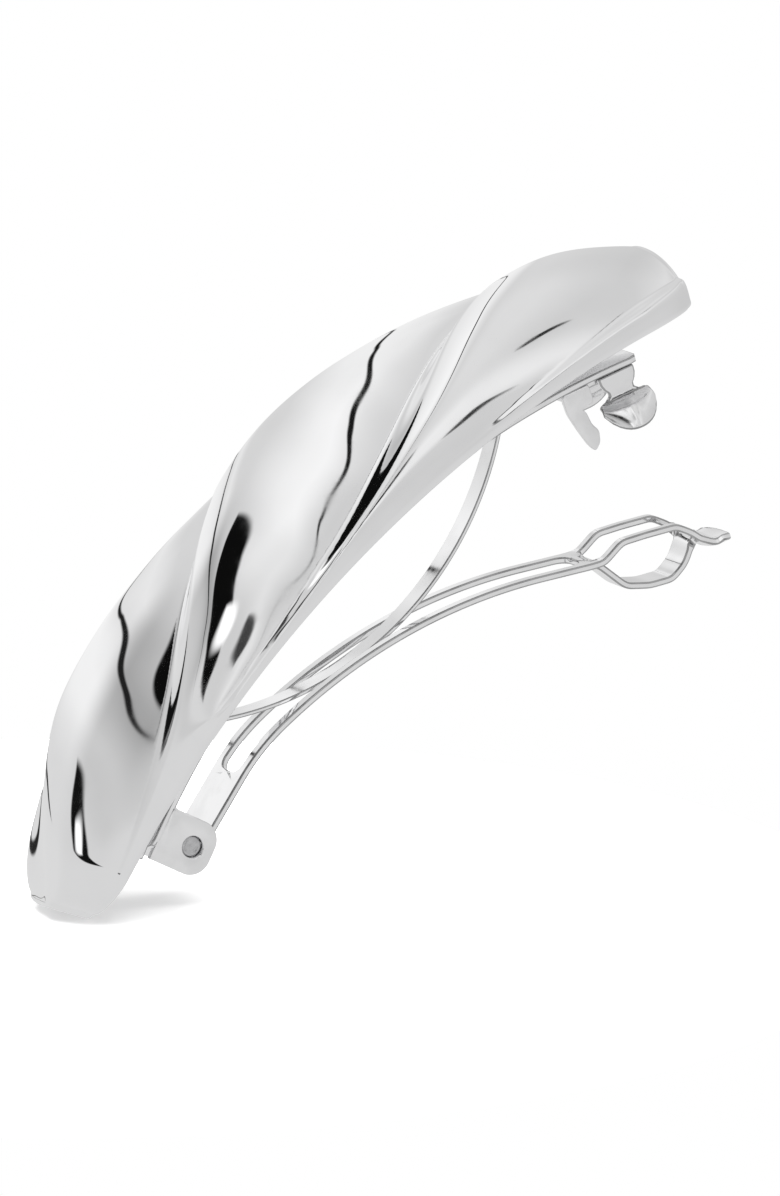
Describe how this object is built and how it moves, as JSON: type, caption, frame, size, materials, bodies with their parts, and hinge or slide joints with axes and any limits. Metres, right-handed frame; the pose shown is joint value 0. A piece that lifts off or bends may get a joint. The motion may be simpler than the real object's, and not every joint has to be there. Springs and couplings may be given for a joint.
{
  "type": "hair barrette",
  "caption": "Twisted rope-like polished metal cover on a French barrette clasp: arched base, hinged slotted arm, tension bow and squeeze catch.",
  "frame": {"origin": "middle of the base plate's underside, where the lock of hair bears", "axes": "+X along the clasp from hinge to catch, +Y across it, +Z outwards from the hair through the cover"},
  "size_m": [0.1027, 0.0221, 0.0511],
  "materials": {
    "cover_plate": "mirror-polished silver plating over a cast zinc shell",
    "clasp_plate": "bright nickel-plated spring steel strip",
    "catch_plate": "bright nickel-plated stamped steel",
    "pin_steel": "cut and peened steel wire ends",
    "bridge_metal": "tumbled plated bar, dull"
  },
  "bodies": {
    "cover": {"cover_shell": "cover_plate", "bridge_hinge_end": "bridge_metal", "bridge_catch_end": "bridge_metal", "fixing_rivets": "pin_steel", "base_plate": "clasp_plate", "hinge_pin": "pin_steel", "tension_bow": "clasp_plate", "catch_bracket": "catch_plate"},
    "arm": {"clasp_arm": "clasp_plate"},
    "tab_near": {"thumb_tab_near": "catch_plate"},
    "tab_far": {"thumb_tab_far": "catch_plate"}
  },
  "joints": [
    {"name": "arm_hinge", "type": "hinge", "parent": "cover", "child": "arm", "pos_m": [-0.03503, 0, -0.01062], "axis": [0, -1, 0], "range_deg": [-70, 15]},
    {"name": "tab_near_squeeze", "type": "hinge", "parent": "cover", "child": "tab_near", "pos_m": [0.03799, -0.0045, -0.00792], "axis": [0.9304, 0, -0.3665], "range_deg": [0, 4], "stiffness_Nm_per_rad": 0.05},
    {"name": "tab_far_squeeze", "type": "hinge", "parent": "cover", "child": "tab_far", "pos_m": [0.03799, 0.0045, -0.00792], "axis": [-0.9304, 0, 0.3665], "range_deg": [0, 4], "stiffness_Nm_per_rad": 0.05}
  ]
}
